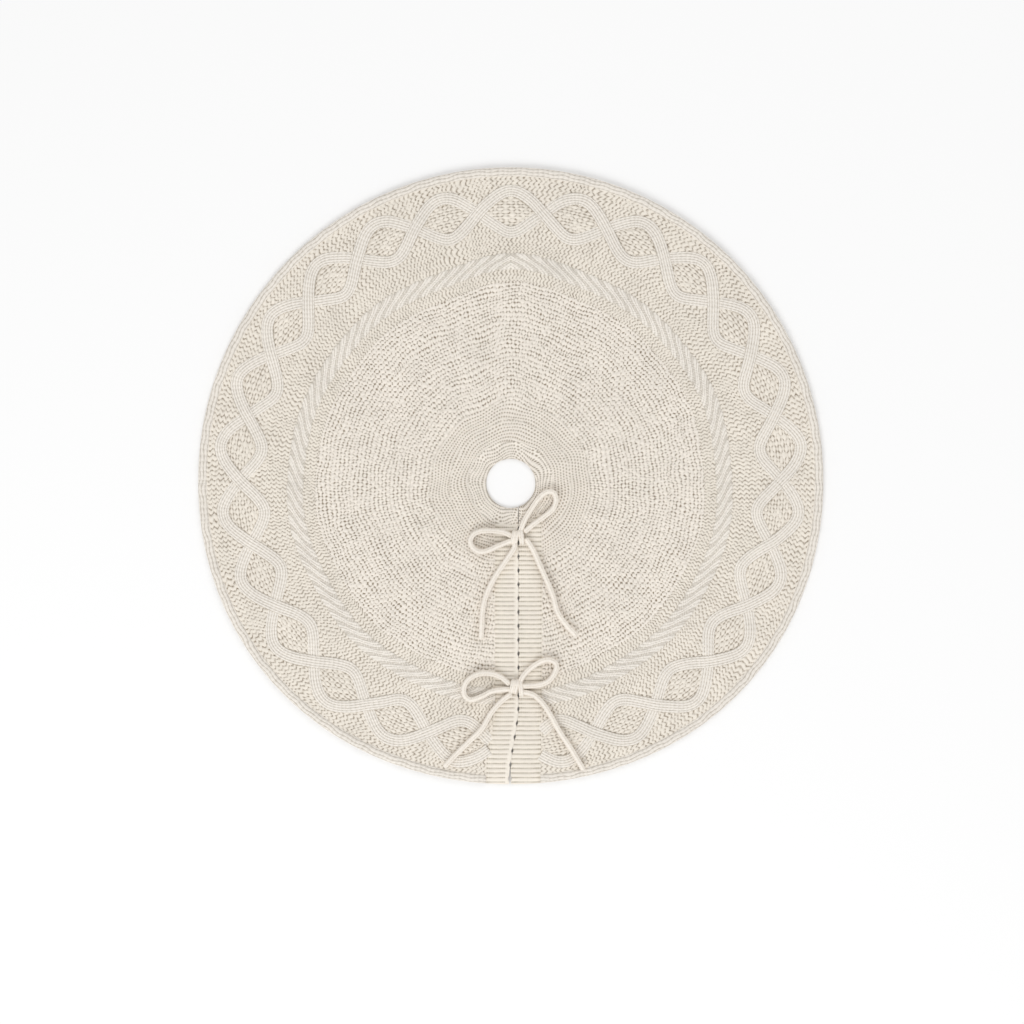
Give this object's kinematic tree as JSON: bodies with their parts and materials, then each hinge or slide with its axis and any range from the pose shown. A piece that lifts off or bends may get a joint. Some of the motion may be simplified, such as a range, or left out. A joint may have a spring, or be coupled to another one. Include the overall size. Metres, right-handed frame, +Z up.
{
  "type": "knitted tree skirt",
  "caption": "Round knitted tree skirt laid flat, with a trunk hole, cable border, rolled hem and a front slit with ribbed plackets closed by tied cord bows.",
  "frame": {"origin": "middle of the skirt's outline, on the surface it lies on", "axes": "+Z up; -Y towards the slit and the bows at the front; +X to the right of someone facing the slit"},
  "size_m": [0.6096, 0.6017, 0.0144],
  "materials": {
    "neck_knit": "knitted cream yarn, plain courses, very matte",
    "moss_knit": "knitted cream yarn in moss stitch, very matte",
    "cable_knit": "knitted cream yarn in cables on reverse stockinette, very matte",
    "hem_knit": "knitted cream yarn, smooth rolled stockinette, very matte",
    "placket_knit": "knitted cream yarn, ribbed, very matte",
    "tie_cord": "narrow knitted cream cord, matte"
  },
  "bodies": {
    "back": {"back_neck_edge": "neck_knit", "back_centre_field": "moss_knit", "back_cable_border": "cable_knit", "back_rolled_hem": "hem_knit"},
    "left_flap": {"left_neck_edge": "neck_knit", "left_centre_field": "moss_knit", "left_cable_border": "cable_knit", "left_rolled_hem": "hem_knit", "left_placket": "placket_knit", "left_upper_half_knot": "tie_cord", "left_upper_bow_loop": "tie_cord", "left_lower_half_knot": "tie_cord", "left_lower_bow_loop": "tie_cord"},
    "right_flap": {"right_neck_edge": "neck_knit", "right_centre_field": "moss_knit", "right_cable_border": "cable_knit", "right_rolled_hem": "hem_knit", "right_placket": "placket_knit", "right_upper_half_knot": "tie_cord", "right_upper_bow_loop": "tie_cord", "right_lower_half_knot": "tie_cord", "right_lower_bow_loop": "tie_cord"},
    "left_upper_tail": {"left_upper_tie_tail": "tie_cord"},
    "left_lower_tail": {"left_lower_tie_tail": "tie_cord"},
    "right_upper_tail": {"right_upper_tie_tail": "tie_cord"},
    "right_lower_tail": {"right_lower_tie_tail": "tie_cord"}
  },
  "joints": [
    {"name": "left_flap_fold", "type": "hinge", "parent": "back", "child": "left_flap", "pos_m": [-0.15, -0.00735, 0.009], "axis": [-1, 0, 0], "range_deg": [0, 172]},
    {"name": "right_flap_fold", "type": "hinge", "parent": "back", "child": "right_flap", "pos_m": [0.15, -0.00735, 0.009], "axis": [-1, 0, 0], "range_deg": [0, 172]},
    {"name": "left_upper_tail_swing", "type": "hinge", "parent": "left_flap", "child": "left_upper_tail", "pos_m": [0.0036, -0.06655, 0.01005], "axis": [0, 0, 1], "range_deg": [-15, 15]},
    {"name": "left_lower_tail_swing", "type": "hinge", "parent": "left_flap", "child": "left_lower_tail", "pos_m": [-0.001, -0.21335, 0.01005], "axis": [0, 0, 1], "range_deg": [-15, 15]},
    {"name": "right_upper_tail_swing", "type": "hinge", "parent": "right_flap", "child": "right_upper_tail", "pos_m": [0.0155, -0.06275, 0.01005], "axis": [0, 0, 1], "range_deg": [-15, 15]},
    {"name": "right_lower_tail_swing", "type": "hinge", "parent": "right_flap", "child": "right_lower_tail", "pos_m": [0.0136, -0.21075, 0.01005], "axis": [0, 0, 1], "range_deg": [-15, 15]}
  ]
}
